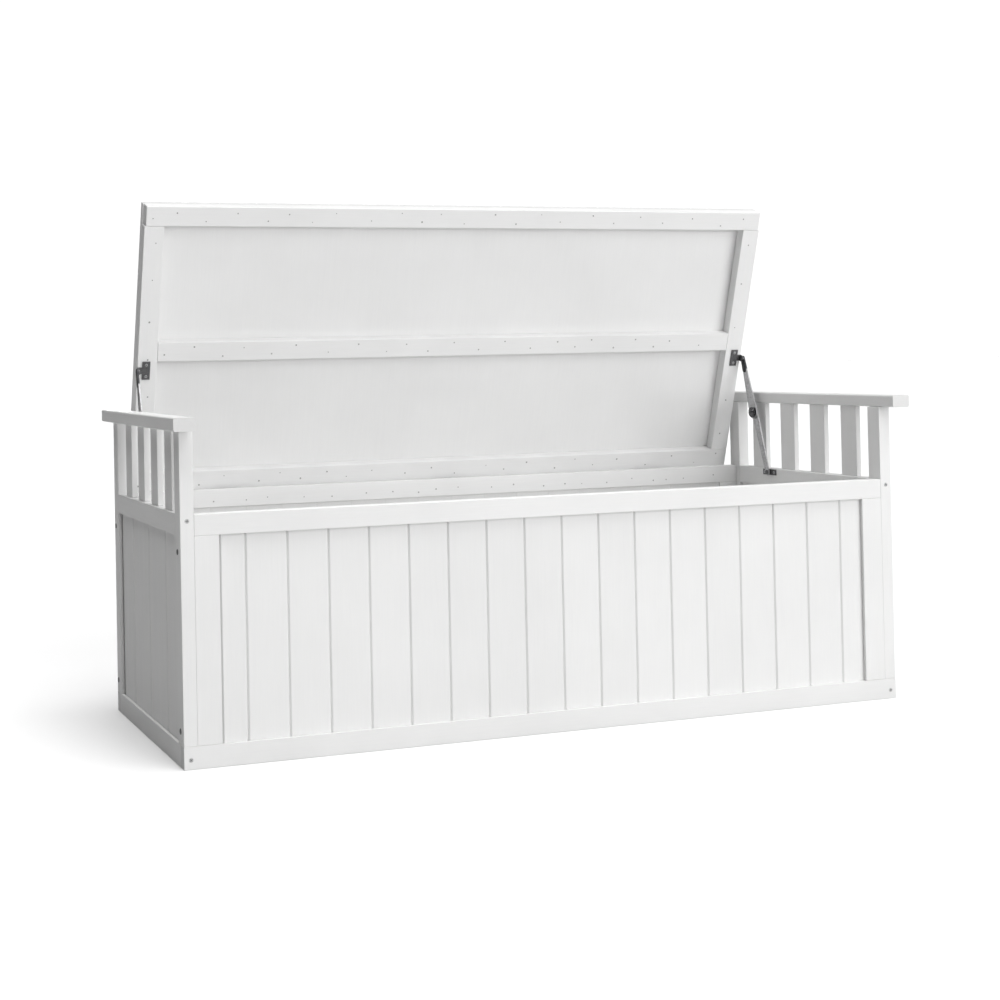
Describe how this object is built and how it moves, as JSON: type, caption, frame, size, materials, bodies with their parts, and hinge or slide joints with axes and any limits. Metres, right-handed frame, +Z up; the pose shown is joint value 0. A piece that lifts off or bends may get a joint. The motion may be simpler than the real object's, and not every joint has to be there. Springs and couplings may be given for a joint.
{
  "type": "storage bench",
  "caption": "Painted wooden storage bench: a framed and boarded box under a hinged seat lid held open by folding stays, between slatted arm ends with flat armrests.",
  "frame": {"origin": "on the floor, midway along the bench, and midway between the armrests' front ends and the rear edge of the open lid", "axes": "+X along the bench towards its right end as seen from the front, +Y to the rear, +Z up"},
  "size_m": [1.322, 0.5774, 0.8997],
  "materials": {
    "white_paint": "satin",
    "floor_board": "matte",
    "steel": "satin",
    "dark_steel": "satin"
  },
  "bodies": {
    "box": {"arm_slat_left_1": "white_paint", "arm_slat_left_2": "white_paint", "arm_slat_left_3": "white_paint", "arm_slat_left_4": "white_paint", "arm_slat_right_1": "white_paint", "arm_slat_right_2": "white_paint", "arm_slat_right_3": "white_paint", "arm_slat_right_4": "white_paint", "armrest_left": "white_paint", "armrest_right": "white_paint", "base_front_rail": "white_paint", "base_left_rail": "white_paint", "base_rear_rail": "white_paint", "base_right_rail": "white_paint", "end_boards_left": "white_paint", "end_boards_right": "white_paint", "end_top_rail_left": "white_paint", "end_top_rail_right": "white_paint", "floor_cleat_front": "white_paint", "floor_cleat_rear": "white_paint", "floor_panel": "floor_board", "front_boards": "white_paint", "front_stile_left": "white_paint", "front_stile_right": "white_paint", "front_top_rail": "white_paint", "hinge_1_box_leaf": "steel", "hinge_1_pin": "steel", "hinge_2_box_leaf": "steel", "hinge_2_pin": "steel", "hinge_3_box_leaf": "steel", "hinge_3_pin": "steel", "post_front_left": "white_paint", "post_front_right": "white_paint", "post_rear_left": "white_paint", "post_rear_right": "white_paint", "rear_boards": "white_paint", "rear_stile_left": "white_paint", "rear_stile_right": "white_paint", "rear_top_rail": "white_paint", "stay_box_bracket_left": "dark_steel", "stay_box_bracket_right": "dark_steel"},
    "lid": {"hinge_1_lid_leaf": "steel", "hinge_2_lid_leaf": "steel", "hinge_3_lid_leaf": "steel", "lid_batten_front": "white_paint", "lid_batten_left": "white_paint", "lid_batten_middle": "white_paint", "lid_batten_rear": "white_paint", "lid_batten_right": "white_paint", "lid_boards": "white_paint", "stay_lid_bracket_left": "dark_steel", "stay_lid_bracket_right": "dark_steel"},
    "stay_lower_left": {"stay_lower_arm_left": "steel", "stay_knee_rivet_left": "dark_steel"},
    "stay_upper_left": {"stay_upper_arm_left": "steel"},
    "stay_lower_right": {"stay_lower_arm_right": "steel", "stay_knee_rivet_right": "dark_steel"},
    "stay_upper_right": {"stay_upper_arm_right": "steel"}
  },
  "joints": [
    {"name": "lid_hinge", "type": "hinge", "parent": "box", "child": "lid", "pos_m": [0, 0.2503, 0.382], "axis": [1, 0, 0], "range_deg": [0, 72.2]},
    {"name": "stay_foot_left", "type": "hinge", "parent": "box", "child": "stay_lower_left", "pos_m": [-0.6168, 0.1013, 0.381], "axis": [1, 0, 0], "range_deg": [0, 171.2]},
    {"name": "stay_knee_left", "type": "hinge", "parent": "stay_lower_left", "child": "stay_upper_left", "pos_m": [-0.6168, 0.14322, 0.4977], "axis": [1, 0, 0], "range_deg": [-140, 0]},
    {"name": "stay_foot_right", "type": "hinge", "parent": "box", "child": "stay_lower_right", "pos_m": [0.6168, 0.1013, 0.381], "axis": [1, 0, 0], "range_deg": [0, 171.2]},
    {"name": "stay_knee_right", "type": "hinge", "parent": "stay_lower_right", "child": "stay_upper_right", "pos_m": [0.6168, 0.14322, 0.4977], "axis": [1, 0, 0], "range_deg": [-140, 0]}
  ],
  "couplings": [
    {"joint": "stay_foot_left", "follows": "lid_hinge", "ratio": 2.3699},
    {"joint": "stay_knee_left", "follows": "lid_hinge", "ratio": -1.9377},
    {"joint": "stay_foot_right", "follows": "lid_hinge", "ratio": 2.3699},
    {"joint": "stay_knee_right", "follows": "lid_hinge", "ratio": -1.9377}
  ]
}
